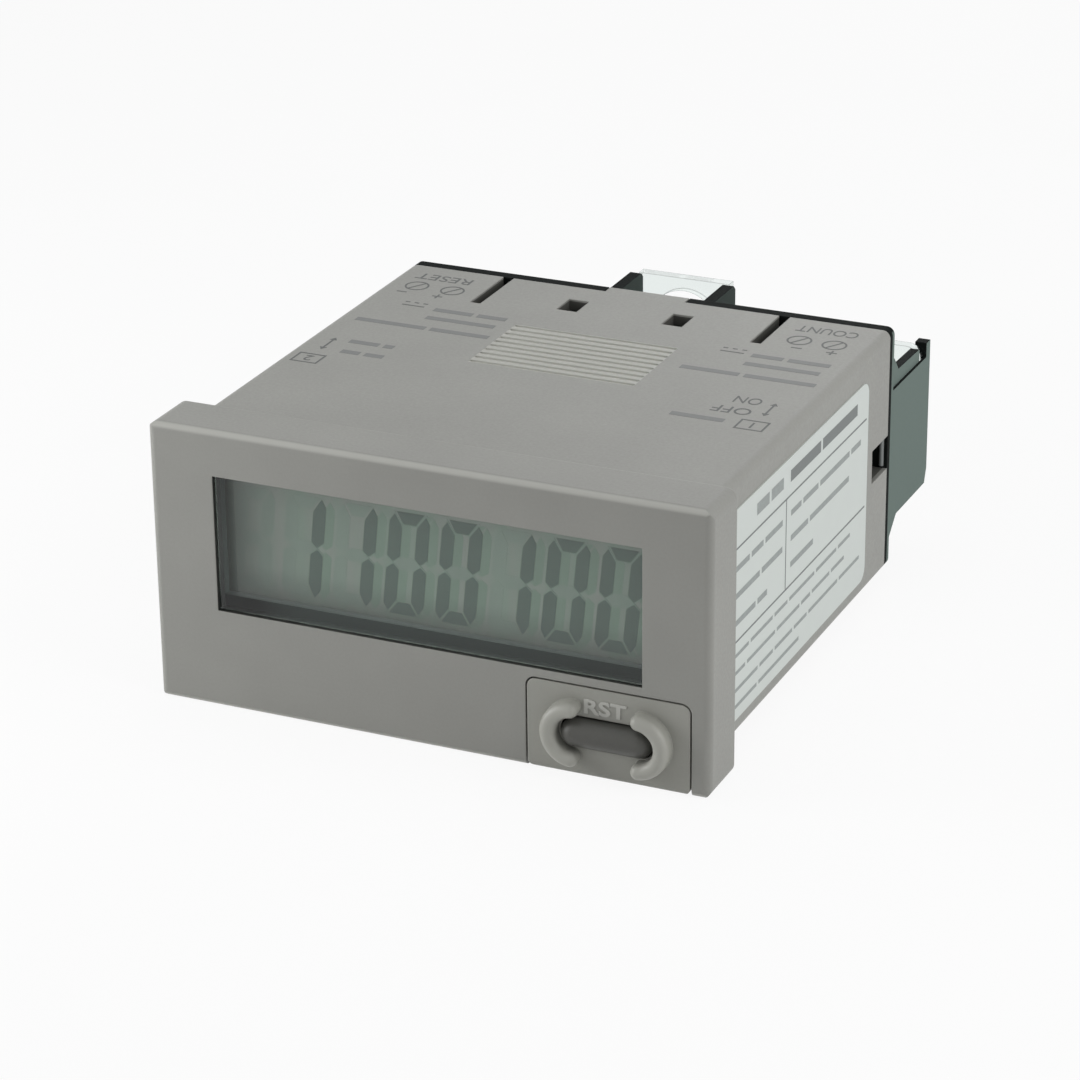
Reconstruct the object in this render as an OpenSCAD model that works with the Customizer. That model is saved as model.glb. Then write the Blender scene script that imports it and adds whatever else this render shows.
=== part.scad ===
// Self-powered totalising counter for a 48 x 24 mm panel front.
// X runs to the right as seen from the front, Y to the rear and Z up.
// The origin is the centre of the panel seat, which is the rear face of the bezel.

/* [Bezel] */
// Width of the bezel
bezel_w = 48; // [47:0.5:52]
// Height of the bezel
bezel_h = 24; // [23.6:0.1:26]
// Depth of the bezel in front of the panel
bezel_d = 5; // [4.6:0.1:7]
// Radius of the bezel's four corners
bezel_corner_r = 0.9; // [0.8:0.1:1.4]
// Radius of the bezel's front edges
bezel_edge_r = 0.6; // [0.3:0.1:0.7]
// Thickness of the wall behind the front face
front_wall = 1.6; // [1.5:0.1:2.2]

/* [Case body] */
// Width of the body that passes through the panel
body_w = 44.8; // [44.4:0.1:45]
// Height of the body that passes through the panel
body_h = 21.9; // [21.6:0.1:22.2]
// Length of the grey body behind the panel
body_len = 39.4; // [38.6:0.1:44]
// Radius of the body's long edges
body_r = 0.7; // [0.6:0.1:1.2]
// Thickness of the body's walls
wall = 1.4; // [1.2:0.05:1.5]
// Width of a latch window
latch_window_w = 1.9; // [1.4:0.1:2.4]
// Length of a latch window
latch_window_len = 2.8; // [2:0.1:3]
// Distance of a latch window from the middle
latch_x = 4.85; // [4.6:0.05:7]
// Distance from a latch window's centre to the rear edge
latch_from_rear = 4.4; // [3.6:0.1:4.8]
// Distance of a long slot from the middle
slot_x = 12.9; // [10:0.1:15]
// Width of a long slot
slot_w = 1; // [0.8:0.05:1.4]
// Length of a long slot
slot_len = 7; // [5:0.1:8]
// Width of the tongue at the middle of the rear edge
tongue_w = 7.4; // [5:0.1:8]
// Height of a side notch
notch_h = 3; // [2:0.1:4]
// Length of a side notch
notch_len = 3.9; // [3:0.1:5]

/* [Grip grooves] */
// Width of the grooved field
grip_w = 14.8; // [10:0.2:18]
// Distance from the panel to the first groove
grip_start = 19.3; // [17:0.1:20]
// Number of grooves
grip_count = 10; // [4:1:10]
// Distance from one groove to the next
grip_pitch = 1; // [0.7:0.05:1.1]
// Width of a groove at the surface
groove_w = 0.4; // [0.2:0.05:0.6]
// Depth of a groove
groove_depth = 0.3; // [0.1:0.05:0.5]

/* [Display] */
// Width of the window opening
window_w = 36.7; // [34:0.1:37.2]
// Height of the window opening
window_h = 11.6; // [10:0.1:11.8]
// Height of the window's centre above the middle
window_z = 2.35; // [1.9:0.05:2.45]
// Distance that the pane lies behind the front face
pane_inset = 0.3; // [0.1:0.05:0.8]
// Width of the pane's flange round the opening
pane_flange_w = 1; // [0.6:0.1:1.1]
// Thickness of the pane's flange
pane_flange_t = 1; // [0.6:0.1:1.4]
// Thickness of the lip in front of the LCD
lip_t = 0.65; // [0.4:0.05:1]
// Distance that the lip's opening stands back from the window's edges
lip_margin = 0.2; // [0.1:0.05:0.3]
// Height that the lip covers above the window's lower edge
lip_cover = 0.75; // [0.4:0.05:1]
// Thickness of one LCD glass plate
glass_t = 1.1; // [0.7:0.1:1.3]
// Width of the contact ledge along the LCD's long edges
ledge_w = 1.1; // [0.9:0.05:1.2]
// Distance from the LCD's short edges to the contact strips
strip_inset = 1; // [0.5:0.1:2]
// Wall of the LCD frame
frame_wall = 0.65; // [0.5:0.05:0.7]
// Depth of the LCD frame
frame_d = 5.6; // [5:0.1:6.2]

/* [Reset key] */
// Distance of the key's centre to the right of the middle
key_x = 15.5; // [14:0.1:15.6]
// Height of the key's centre
key_z = -8.15; // [-8.3:0.05:-8]
// Width of the insert plate
plate_w = 13.6; // [13.2:0.1:14.4]
// Height of the insert plate above the key's centre
plate_above = 3.85; // [3.6:0.05:4.1]
// Thickness of the insert plate
plate_t = 1.2; // [1:0.05:1.3]
// Groove seen all round the plate
plate_gap = 0.15; // [0.1:0.05:0.25]
// Radius of the plate's corners
plate_corner_r = 0.7; // [0.4:0.1:1]
// Distance between the centres of the key's round ends
key_span = 5.3; // [4.5:0.1:5.6]
// Radius of the key's round ends
key_r = 1.2; // [1.05:0.05:1.25]
// Distance that the key stands out of the plate
key_proud = 1.2; // [0.6:0.1:1.4]
// Travel of the key
key_travel = 0.5; // [0.3:0.05:0.6]
// Width of the flange that keeps the key behind the plate
key_flange_w = 0.3; // [0.2:0.05:0.35]
// Thickness of the key's flange
key_flange_t = 0.6; // [0.4:0.05:0.7]
// Radius of the middle of a guard's arc
guard_r = 2.1; // [2.05:0.05:2.3]
// Width of a guard
guard_w = 1.3; // [1:0.05:1.35]
// Height of a guard above the plate
guard_h = 1.4; // [0.8:0.05:1.6]
// Arc that a guard covers, without its round ends
guard_arc = 168; // [120:2:200]
// Width of the tactile switch
switch_w = 6; // [5:0.1:6.5]
// Depth of the tactile switch
switch_d = 2.6; // [2.2:0.1:2.8]
// Height of the tactile switch
switch_h = 3.4; // [3:0.1:3.5]
// Radius of the switch's plunger
plunger_r = 0.8; // [0.6:0.05:0.85]
// Length of the plunger inside the switch
plunger_in = 1; // [0.8:0.05:1.2]
// Thickness of the snap legs that hold the plate
leg_t = 0.6; // [0.5:0.05:0.7]
// Height of the snap legs
leg_h = 2; // [1.5:0.1:2.4]
// Length of the snap legs behind the front wall
leg_len = 1.2; // [1:0.1:1.4]
// Reach of the snap legs' hooks
leg_hook = 0.4; // [0.3:0.05:0.5]

/* [Boards] */
// Thickness of both boards
pcb_t = 1.2; // [1:0.1:1.4]
// Gap between the display board and the input board
board_gap = 2.6; // [2:0.1:3]
// Height of the space under the input board
under_board = 1.95; // [1.9:0.05:2.2]
// Depth of a board rail from the side wall
rail_w = 1; // [0.8:0.1:1.3]
// Height of a board rail
rail_h = 0.9; // [0.6:0.1:1.1]
// Width and height of the counter chip
chip_w = 10; // [8:0.5:10.5]
// Thickness of the counter chip
chip_t = 1.6; // [1:0.1:2]
// Leads on each side of the counter chip
chip_leads = 8; // [4:1:12]
// Width of a lead
lead_w = 0.4; // [0.3:0.05:0.5]
// Thickness of a lead
lead_t = 0.25; // [0.15:0.05:0.4]
// Reach of a lead from the counter chip
lead_out = 1; // [0.8:0.1:1.1]
// Radius of the clock crystal's can
crystal_r = 1; // [0.8:0.1:1.1]
// Length of the clock crystal's can
crystal_len = 6; // [5:0.5:8]
// Pins in the board header
header_pins = 8; // [4:1:12]
// Distance from one header pin to the next
header_pitch = 1.27; // [1:0.01:1.5]
// Depth and height of the header's body
header_d = 2.5; // [2:0.1:2.6]
// Width of a header pin
pin_w = 0.5; // [0.3:0.05:0.6]
// Width of a photocoupler
coupler_w = 4.6; // [4:0.1:4.8]
// Length of a photocoupler
coupler_len = 6.5; // [5:0.1:6.8]
// Height of a photocoupler's body
coupler_h = 3.4; // [2:0.1:4]
// Height of a photocoupler above the board
coupler_lead = 0.5; // [0.3:0.1:0.8]
// Distance of a photocoupler from the middle
coupler_x = 3.6; // [3.5:0.05:3.9]
// Radius of the filter capacitor
capacitor_r = 2.5; // [2:0.1:2.6]
// Height of the filter capacitor
capacitor_h = 7; // [5:0.5:9]
// Distance of the capacitor and the resistors from the middle
part_x = 13.1; // [12.8:0.1:13.4]
// Length of a chip resistor
resistor_len = 3.2; // [2:0.1:3.6]
// Width of a chip resistor
resistor_w = 1.6; // [1.2:0.1:1.8]
// Height of a chip resistor
resistor_h = 0.6; // [0.4:0.1:0.8]
// Number of chip resistors
resistor_count = 3; // [1:1:3]
// Gap between chip resistors
resistor_gap = 0.3; // [0.2:0.05:0.4]

/* [Battery] */
// Radius of the battery cell
cell_r = 7.1; // [6.5:0.05:7.25]
// Length of the battery cell without its button
cell_len = 25.2; // [24:0.1:27]
// Radius of the cell's positive button
button_r = 2.5; // [2:0.1:3]
// Length of the cell's positive button
button_t = 0.8; // [0.6:0.1:1]
// Thickness of the contact strips
contact_t = 0.4; // [0.3:0.05:0.6]
// Width of the contact strips
contact_w = 8; // [6:0.5:9]
// End wall of the battery holder
holder_wall = 1.5; // [1.2:0.1:2]
// Height of the battery holder
holder_h = 5.3; // [4:0.1:6]
// Floor of the battery holder under the cell
cradle_floor = 0.5; // [0.4:0.05:0.7]
// Distance from the holder's sides to the cell's sides
holder_inset = 0.6; // [0.3:0.05:1]

/* [Mode switch] */
// Width of the mode switch
mode_w = 7.6; // [7:0.1:9]
// Length of the mode switch
mode_len = 5.4; // [5.2:0.1:6]
// Distance from the panel to the middle of the mode switch
mode_y = 12; // [11.4:0.1:13]
// Distance of each slider from the middle
slider_x = 1.7; // [1.4:0.1:1.9]
// Width of a slider's knob
knob_w = 0.9; // [0.6:0.05:1]
// Length of a slider's knob
knob_len = 1.2; // [0.8:0.05:1.4]
// Width of a slider's base
slider_base_w = 1.4; // [1.2:0.05:1.6]
// Length of a slider's base
slider_base_len = 2; // [1.6:0.05:2.2]
// Travel of a slider
slider_travel = 1.8; // [1:0.1:1.9]
// Depth of the pocket that holds a slider's base
slider_pocket = 0.8; // [0.6:0.05:1]
// Distance that the knobs stay inside the case's underside
knob_inset = 0.5; // [0.2:0.1:0.8]
// Room round the knobs in the case's window
knob_room = 0.45; // [0.3:0.05:0.6]

/* [Terminal block] */
// Thickness of the rim that meets the case
rim_t = 1.1; // [0.8:0.05:1.2]
// Length of the collar inside the case
collar_len = 6.4; // [6.2:0.1:6.8]
// Wall of the collar
collar_wall = 1.2; // [1:0.05:1.4]
// Floor of the block in front of the rim
block_floor = 0.8; // [0.6:0.1:1.2]
// Height of the latch hooks and side ribs above the collar
hook_h = 0.6; // [0.5:0.05:1.1]
// Length of the ribs that key the block in the long slots
slot_key_len = 2.3; // [1.5:0.1:4]
// Length of the terminal block behind the case
rear_len = 11.1; // [10.9:0.1:14]
// Distance from the middle to the first terminal
first_terminal_x = 8.75; // [8.65:0.05:8.9]
// Distance from one terminal to the next
terminal_pitch = 8.7; // [8.6:0.05:8.8]
// Height of the terminals' centres
terminal_z = -0.9; // [-1.1:0.1:-0.7]
// Thickness of a barrier wall
barrier_t = 1.05; // [1:0.05:1.3]
// Top of the side barriers at the rear
barrier_top = 6.2; // [5.8:0.1:6.4]
// Bottom of the barriers
barrier_bottom = -6.9; // [-7.4:0.1:-6.8]
// Top of the side barriers at the rim
shoulder_top = 7.65; // [7.2:0.05:7.9]
// Length of the level stretch of a shoulder
shoulder_len = 1.2; // [1:0.1:2]
// Length of the slope behind a shoulder
shoulder_slope = 1.1; // [0.8:0.1:2]
// Rise of the side barriers from the rear to the slope's foot
barrier_rise = 0.15; // [0:0.05:0.5]
// Top of the two tall walls of the middle bay
middle_top = 9.8; // [9:0.1:10.2]
// Chamfer at the rear of the tall walls
middle_chamfer = 0.4; // [0.2:0.1:0.8]
// Top of the outer skin that closes the cover's grooves
skin_top = 5.1; // [4.6:0.1:5.4]
// Thickness of that skin
skin_t = 0.25; // [0.2:0.05:0.5]
// Thickness of the posts behind the cover
post_t = 1; // [0.8:0.05:1.2]
// Height of a post above the cover
post_rise = 0.1; // [0.1:0.05:0.6]
// Length of the gusset under an outer wall
gusset_len = 2; // [1.6:0.1:3]
// Bottom of the gusset at the rim
gusset_bottom = -8.7; // [-9.4:0.1:-8.2]
// Length of the cut at an outer wall's lower rear corner
corner_cut = 0.5; // [0.3:0.05:0.8]
// Height of that cut
corner_cut_h = 1.3; // [0.8:0.1:1.6]
// Distance from the rim to the terminals' seats
seat_h = 2.9; // [2.8:0.1:3]
// Height of a seat above a terminal's centre
seat_above = 5.4; // [4.8:0.1:6]
// Depth of a seat below a terminal's centre
seat_below = 4.6; // [4.2:0.1:5]

/* [Terminal cover] */
// Thickness of the clear cover
cover_t = 1; // [0.8:0.05:1.1]
// Height of the cover above the side barriers
cover_rise = 0.1; // [0.1:0.05:0.5]
// Radius of the cover's top corners
cover_corner_r = 1.2; // [0.6:0.1:1.6]
// Radius of the screwdriver holes
access_r = 3.2; // [3.1:0.05:3.3]
// Height of the centre of the middle hole
middle_hole_z = 5.3; // [4.5:0.1:5.6]
// Width of the cover's raised tab
tab_w = 8.6; // [7.8:0.1:9.2]
// Distance from the tab's top to the top of the tall walls
tab_drop = 0.1; // [0:0.05:0.4]
// Height of the grooves' ends above the barriers' bottom
groove_end = 1.2; // [1.1:0.1:1.6]

/* [Terminals] */
// Radius of a terminal screw's shank
screw_r = 1.75; // [1.5:0.05:1.8]
// Radius of a terminal screw's head
head_r = 3; // [2.6:0.05:3]
// Height of a terminal screw's head
head_h = 2.2; // [1.8:0.1:2.3]
// Radius of the head's edge
head_edge_r = 0.7; // [0.4:0.1:1]
// Length of a terminal screw under its head
shank_len = 4.4; // [4:0.1:4.6]
// Length of the cross in a screw's head
cross_len = 3.4; // [2.6:0.1:3.8]
// Width of the cross in a screw's head
cross_w = 0.9; // [0.6:0.05:1.1]
// Depth of the cross in a screw's head
cross_deep = 1.2; // [0.8:0.1:1.4]
// Width of a terminal plate and of its clamp washer
terminal_plate_w = 6.6; // [6.2:0.1:6.8]
// Height of a terminal plate above the screw
terminal_plate_above = 4.3; // [3.6:0.1:4.8]
// Thickness of a terminal plate
terminal_plate_t = 0.8; // [0.6:0.05:0.9]
// Thickness of a clamp washer
washer_t = 0.8; // [0.6:0.05:0.9]
// Radius of a clamp washer's corners
washer_corner_r = 0.8; // [0.4:0.1:1.2]
// Width of a terminal's tail
tail_w = 2.6; // [2:0.1:3]
// Length of a tail on the board
tail_on_board = 3; // [2:0.1:3.2]

/* [Label] */
// Thickness of the label
label_t = 0.1; // [0.05:0.01:0.15]
// Start of the label behind the panel
label_start = 2.2; // [2.1:0.1:3.4]
// Distance from the label to the rear edge
label_from_rear = 5.4; // [5:0.1:8]
// Height of the label
label_h = 18; // [14:0.5:18.5]
// Height of the label's centre
label_z = -0.5; // [-0.6:0.1:0.6]
// Radius of the label's rear corners
label_r = 1.2; // [0.5:0.1:2]

/* [Fits] */
// Clearance between moulded pieces that locate each other
fit_gap = 0.1; // [0.05:0.01:0.12]
// Clearance round the LCD, the key's flange and the screws
close_gap = 0.05; // [0.03:0.01:0.08]
// Clearance round a hook, tail or board edge
loose_gap = 0.2; // [0.15:0.01:0.3]
// Radial clearance of the plunger in its switch
running_gap = 0.05; // [0.02:0.01:0.08]

/* [Hidden] */
$fn = 64;

// Length that a cut runs past the surface it opens
past = 1;
sides = [-1, 1];

// Case
front_y = -bezel_d;
inner_y = front_y + front_wall;
cavity_w = body_w - 2 * wall;
cavity_h = body_h - 2 * wall;
floor_z = -cavity_h / 2;
under_z = -body_h / 2;
rim_rear = body_len + rim_t;

// Display stack, from the pane to the display board
pane_front = front_y + pane_inset;
pane_rear = inner_y + pane_flange_t;
lcd_front = pane_rear + lip_t;
board_front = pane_rear + frame_d;
board_rear = board_front + pcb_t;
switch_low = floor_z + loose_gap;
switch_top = switch_low + switch_h;
frame_low = switch_top + fit_gap;
frame_top = cavity_h / 2 - fit_gap;
frame_side = cavity_w / 2 - loose_gap;
lcd_low = frame_low + frame_wall + close_gap;
lcd_top = frame_top - frame_wall - close_gap;
lcd_half_w = frame_side - frame_wall - close_gap;
board_half_w = cavity_w / 2 - 2 * loose_gap;

// Reset key
plate_low = -bezel_h / 2;
plate_top = key_z + plate_above;
plate_rear = front_y + plate_t;
key_flange_y = plate_rear + close_gap;
key_centre_y = front_y - key_proud + key_r;
pocket_rear = key_flange_y + key_flange_t + key_travel + fit_gap;
pocket_half_w = key_span / 2 + key_r + key_flange_w + loose_gap + leg_t + fit_gap;
pocket_half_h = key_r + key_flange_w + loose_gap;
switch_z = switch_low + switch_h / 2;
switch_front = board_front - switch_d;
plunger_front = switch_front - key_travel - loose_gap;

// Boards
input_low = floor_z + under_board;
input_top = input_low + pcb_t;
input_front = board_rear + board_gap;
collar_front = body_len - collar_len;
input_rear = collar_front - loose_gap;
header_w = (header_pins + 0.5) * header_pitch;
chip_z = input_top + header_d + loose_gap + lead_out + chip_w / 2;
coupler_y = input_rear - 2 * loose_gap - coupler_w / 2;
capacitor_y = input_rear - 2 * loose_gap - capacitor_r;
resistor_y = input_rear - 2 * loose_gap - resistor_len / 2;
resistor_pitch = resistor_w + resistor_gap;

// Battery
cell_y = input_front + header_d + loose_gap + cell_r;
cell_z = input_top + cradle_floor + fit_gap + cell_r;
holder_half_y = cell_r - holder_inset;
holder_top = input_top + holder_h;
plus_contact_x = cell_len / 2 + button_t;
minus_contact_x = -cell_len / 2;
contact_top = cell_z + button_r + lead_out;

// Mode switch
mode_top = input_low;
mode_low = floor_z + fit_gap;

// Terminal block
rear_y = body_len + rear_len;
root_y = rim_rear - rim_t / 2;
collar_w = cavity_w - 2 * fit_gap;
collar_h = cavity_h - 2 * fit_gap;
seat_y = rim_rear + seat_h;
terminal_x = [for (side = sides, i = [0, 1]) side * (first_terminal_x + i * terminal_pitch)];
middle_wall_x = first_terminal_x - terminal_pitch / 2;
side_wall_x = first_terminal_x + terminal_pitch / 2;
outer_face = body_w / 2 - fit_gap;
outer_inner = outer_face - barrier_t;
groove_x = outer_face - skin_t;
groove_low = barrier_bottom + groove_end;
slope_foot = rim_rear + shoulder_len + shoulder_slope;
gusset_y = rim_rear + gusset_len;

// Terminal cover
cover_rear = rear_y - post_t - fit_gap;
cover_front = cover_rear - cover_t;
barrier_rear = cover_front - fit_gap;
cover_half_w = groove_x - fit_gap;
cover_low = groove_low + fit_gap;
cover_top = barrier_top + cover_rise;
tab_top = middle_top - tab_drop;
post_top = cover_top + post_rise;

// Terminals
tail_low = input_top;
plate_face = seat_y + terminal_plate_t;
washer_face = plate_face + washer_t;
screw_hole_r = screw_r + loose_gap;

// Extrudes a drawing in X and Z from y0 to y1
module along_y(y0, y1) {
    translate([0, y1, 0]) rotate([90, 0, 0]) linear_extrude(height = y1 - y0) children();
}

// Extrudes a drawing in Y and Z from x0 to x1
module along_x(x0, x1) {
    translate([x0, 0, 0]) rotate([90, 0, 90]) linear_extrude(height = x1 - x0) children();
}

// Extrudes a drawing in X and Y from z0 to z1
module along_z(z0, z1) {
    translate([0, 0, z0]) linear_extrude(height = z1 - z0) children();
}

// Box between pairs of limits
module block(x, y, z) {
    translate([x[0], y[0], z[0]]) cube([x[1] - x[0], y[1] - y[0], z[1] - z[0]]);
}

// Box centred on X and Y, between two heights
module post(w, len, z) {
    block([-w / 2, w / 2], [-len / 2, len / 2], z);
}

// Round rod along Y
module rod_y(x, z, r, y0, y1) {
    translate([x, y1, z]) rotate([90, 0, 0]) cylinder(r = r, h = y1 - y0);
}

// Repeats its children mirrored to the underside
module top_and_bottom() {
    children();
    mirror([0, 0, 1]) children();
}

// Repeats its children mirrored to the left
module right_and_left() {
    children();
    mirror([1, 0, 0]) children();
}

module rounded_rect(w, h, r) {
    square([w - 2 * r, h], center = true);
    square([w, h - 2 * r], center = true);
    for (sx = sides, sy = sides)
        translate([sx * (w / 2 - r), sy * (h / 2 - r)]) circle(r);
}

module stadium(span, r) {
    square([span, 2 * r], center = true);
    for (s = sides)
        translate([s * span / 2, 0]) circle(r);
}

// Depth section of the bezel with its two front edges rounded
module bezel_section(w) {
    r = bezel_edge_r;
    translate([-w / 2, front_y + r]) square([w, bezel_d - r]);
    translate([r - w / 2, front_y]) square([w - 2 * r, bezel_d]);
    for (s = sides)
        translate([s * (w / 2 - r), front_y + r]) circle(r);
}

module bezel_block() {
    intersection() {
        along_y(front_y, 0) rounded_rect(bezel_w, bezel_h, bezel_corner_r);
        along_z(-bezel_h, bezel_h) bezel_section(bezel_w);
        along_x(-bezel_w, bezel_w) rotate(-90) bezel_section(bezel_h);
    }
}

// Case
module rear_tongue() {
    block([-tongue_w / 2, tongue_w / 2], [body_len - past, rim_rear], [cavity_h / 2, body_h / 2]);
}

module grip_grooves() {
    for (i = [0 : grip_count - 1])
        along_x(-grip_w / 2, grip_w / 2) translate([grip_start + i * grip_pitch, body_h / 2])
            polygon([[0, past], [0, 0], [groove_w, -groove_depth], [groove_w, past]]);
}

module latch_windows() {
    for (s = sides)
        translate([s * latch_x, body_len - latch_from_rear, 0])
            post(latch_window_w, latch_window_len, [cavity_h / 2 - past, body_h / 2 + past]);
}

module long_slots() {
    for (s = sides)
        translate([s * slot_x, body_len, 0])
            post(slot_w, 2 * slot_len, [cavity_h / 2 - past, body_h / 2 + past]);
}

module side_notch() {
    block([cavity_w / 2 - past, body_w / 2 + past], [body_len - notch_len, body_len + past],
        [-notch_h / 2, notch_h / 2]);
}

module board_rail() {
    x = [cavity_w / 2 - rail_w, cavity_w / 2 + wall / 2];
    y = [board_rear + fit_gap, collar_front - fit_gap];
    under = input_low - close_gap;
    over = input_top + close_gap;
    block(x, y, [under - rail_h, under]);
    block(x, y, [over, over + rail_h]);
}

module key_openings() {
    low = plate_low - past;
    top = plate_top + plate_gap;
    translate([key_x, 0, (low + top) / 2]) along_y(front_y - past, plate_rear)
        rounded_rect(plate_w + 2 * plate_gap, top - low, plate_corner_r + plate_gap);
    block([key_x - pocket_half_w, key_x + pocket_half_w], [plate_rear - past, pocket_rear],
        [key_z - pocket_half_h, key_z + pocket_half_h]);
}

module mode_window() {
    w = 2 * slider_x + knob_w + 2 * knob_room;
    len = slider_travel + knob_len + 2 * knob_room;
    translate([0, mode_y, 0]) post(w, len, [under_z - past, floor_z + past]);
}

module case() {
    color([0.56, 0.56, 0.54]) {
        difference() {
            union() {
                bezel_block();
                along_y(-past, body_len) rounded_rect(body_w, body_h, body_r);
                top_and_bottom() rear_tongue();
            }
            block([-cavity_w / 2, cavity_w / 2], [inner_y, body_len + past], [floor_z, -floor_z]);
            translate([0, 0, window_z])
                along_y(front_y - past, inner_y + past) square([window_w, window_h], center = true);
            key_openings();
            mode_window();
            top_and_bottom() {
                grip_grooves();
                latch_windows();
                long_slots();
            }
            right_and_left() side_notch();
        }
        right_and_left() board_rail();
    }
}

// Display
module display_window() {
    flange = 2 * pane_flange_w;
    color([0.8, 0.86, 0.83, 0.35]) translate([0, 0, window_z]) {
        along_y(pane_front, pane_rear)
            square([window_w - 2 * fit_gap, window_h - 2 * fit_gap], center = true);
        along_y(inner_y, pane_rear) square([window_w + flange, window_h + flange], center = true);
    }
}

module lcd_panel() {
    x = [-lcd_half_w, lcd_half_w];
    mid_y = lcd_front + glass_t;
    color([0.45, 0.5, 0.46]) {
        block(x, [lcd_front, mid_y], [lcd_low, lcd_top]);
        block(x, [mid_y, mid_y + glass_t], [lcd_low + ledge_w, lcd_top - ledge_w]);
    }
}

module lcd_frame() {
    lip_x = window_w / 2 + lip_margin;
    lip_low = window_z - window_h / 2 + lip_cover;
    lip_top = window_z + window_h / 2 + lip_margin;
    pocket_x = lcd_half_w + close_gap;
    color([0.16, 0.17, 0.17]) difference() {
        block([-frame_side, frame_side], [pane_rear, board_front], [frame_low, frame_top]);
        block([-lip_x, lip_x], [pane_rear - past, board_front], [lip_low, lip_top]);
        block([-pocket_x, pocket_x], [lcd_front, board_front + past],
            [lcd_low - close_gap, lcd_top + close_gap]);
    }
}

// Elastomer strip between a ledge of the LCD and the display board
module contact_strip(low, high) {
    x = lcd_half_w - strip_inset;
    color([0.75, 0.72, 0.66])
        block([-x, x], [lcd_front + glass_t, board_front], [low + close_gap, high - close_gap]);
}

module upper_contact_strip() {
    contact_strip(lcd_top - ledge_w, lcd_top);
}

module lower_contact_strip() {
    contact_strip(lcd_low, lcd_low + ledge_w);
}

// Reset key
module guard_section() {
    r = guard_w / 2;
    translate([-r, -past / 2]) square([guard_w, guard_h - r + past / 2]);
    translate([0, guard_h - r]) circle(r);
}

// Round-topped arc with round ends, open to the right
module guard() {
    start = 180 - guard_arc / 2;
    rotate(start) rotate_extrude(angle = guard_arc) translate([guard_r, 0]) guard_section();
    for (a = [start, start + guard_arc])
        rotate(a) translate([guard_r, 0]) rotate_extrude() intersection() {
            guard_section();
            translate([0, -past]) square([guard_w, guard_h + 2 * past]);
        }
}

module plate_leg() {
    x = pocket_half_w - fit_gap;
    end = inner_y + leg_len;
    hook_y = inner_y + fit_gap;
    block([x - leg_t, x], [plate_rear - plate_t / 2, end], [-leg_h / 2, leg_h / 2]);
    along_z(-leg_h / 2, leg_h / 2)
        polygon([[x - leg_t, hook_y], [x + leg_hook, hook_y], [x, end], [x - leg_t, end]]);
}

module reset_key_plate() {
    mid_z = (plate_low + plate_top) / 2;
    color([0.53, 0.53, 0.5]) difference() {
        union() {
            intersection() {
                translate([key_x, 0, mid_z]) along_y(front_y, plate_rear)
                    rounded_rect(plate_w, plate_top - plate_low, plate_corner_r);
                bezel_block();
            }
            translate([key_x, front_y, key_z]) rotate([90, 0, 0]) right_and_left()
                translate([-key_span / 2, 0, 0]) guard();
            translate([key_x, 0, key_z]) right_and_left() plate_leg();
        }
        translate([key_x, 0, key_z]) along_y(front_y - guard_h - past, plate_rear + past)
            stadium(key_span, key_r + plate_gap);
    }
}

// Section of the key's bar, drawn with the front upwards
module key_profile() {
    rear = -key_flange_y - key_flange_t / 2;
    translate([0, -key_centre_y]) circle(key_r);
    translate([-key_r, rear]) square([2 * key_r, -key_centre_y - rear]);
}

module key_end() {
    rotate([90, 0, 0]) rotate_extrude() intersection() {
        key_profile();
        square([key_r, 2 * bezel_d]);
    }
}

module reset_key() {
    color([0.33, 0.33, 0.31]) translate([key_x, 0, key_z]) {
        along_x(-key_span / 2, key_span / 2) rotate(90) key_profile();
        for (s = sides)
            translate([s * key_span / 2, 0, 0]) key_end();
        along_y(key_flange_y, key_flange_y + key_flange_t) stadium(key_span, key_r + key_flange_w);
        rod_y(0, switch_z - key_z, plunger_r, key_flange_y, plunger_front);
    }
}

module reset_switch() {
    x = switch_w / 2;
    color([0.1, 0.1, 0.1]) difference() {
        block([key_x - x, key_x + x], [switch_front, board_front], [switch_low, switch_top]);
        rod_y(key_x, switch_z, plunger_r + running_gap, switch_front - past,
            switch_front + plunger_in + key_travel + fit_gap);
    }
}

module reset_plunger() {
    color([0.75, 0.72, 0.62])
        rod_y(key_x, switch_z, plunger_r, plunger_front, switch_front + plunger_in);
}

// Boards
module display_board() {
    z = cavity_h / 2 - loose_gap;
    color([0.1, 0.35, 0.2]) block([-board_half_w, board_half_w], [board_front, board_rear], [-z, z]);
}

module counter_chip() {
    half = chip_w / 2;
    lead_pitch = chip_w / (chip_leads + 1);
    body_y = board_rear + lead_t;
    color([0.12, 0.12, 0.12]) translate([0, 0, chip_z]) {
        block([-half, half], [body_y, body_y + chip_t], [-half, half]);
        for (turn = [0 : 90 : 270], i = [0 : chip_leads - 1])
            rotate([0, turn, 0]) translate([(i - (chip_leads - 1) / 2) * lead_pitch, 0, 0])
                block([-lead_w / 2, lead_w / 2], [board_rear, body_y + lead_t],
                    [half - lead_out / 2, half + lead_out]);
    }
}

module clock_crystal() {
    color([0.75, 0.76, 0.78])
        translate([chip_w / 2 + 2 * lead_out, board_rear + crystal_r, chip_z])
            rotate([0, 90, 0]) cylinder(r = crystal_r, h = crystal_len);
}

module input_board() {
    color([0.1, 0.35, 0.2])
        block([-board_half_w, board_half_w], [input_front, input_rear], [input_low, input_top]);
}

module board_header() {
    mid_z = input_top + header_d / 2;
    color([0.14, 0.14, 0.15]) {
        block([-header_w / 2, header_w / 2], [input_front, input_front + header_d],
            [input_top, input_top + header_d]);
        for (i = [0 : header_pins - 1])
            translate([(i - (header_pins - 1) / 2) * header_pitch, 0, mid_z])
                block([-pin_w / 2, pin_w / 2], [board_rear, input_front + past], [-pin_w / 2, pin_w / 2]);
    }
}

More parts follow.
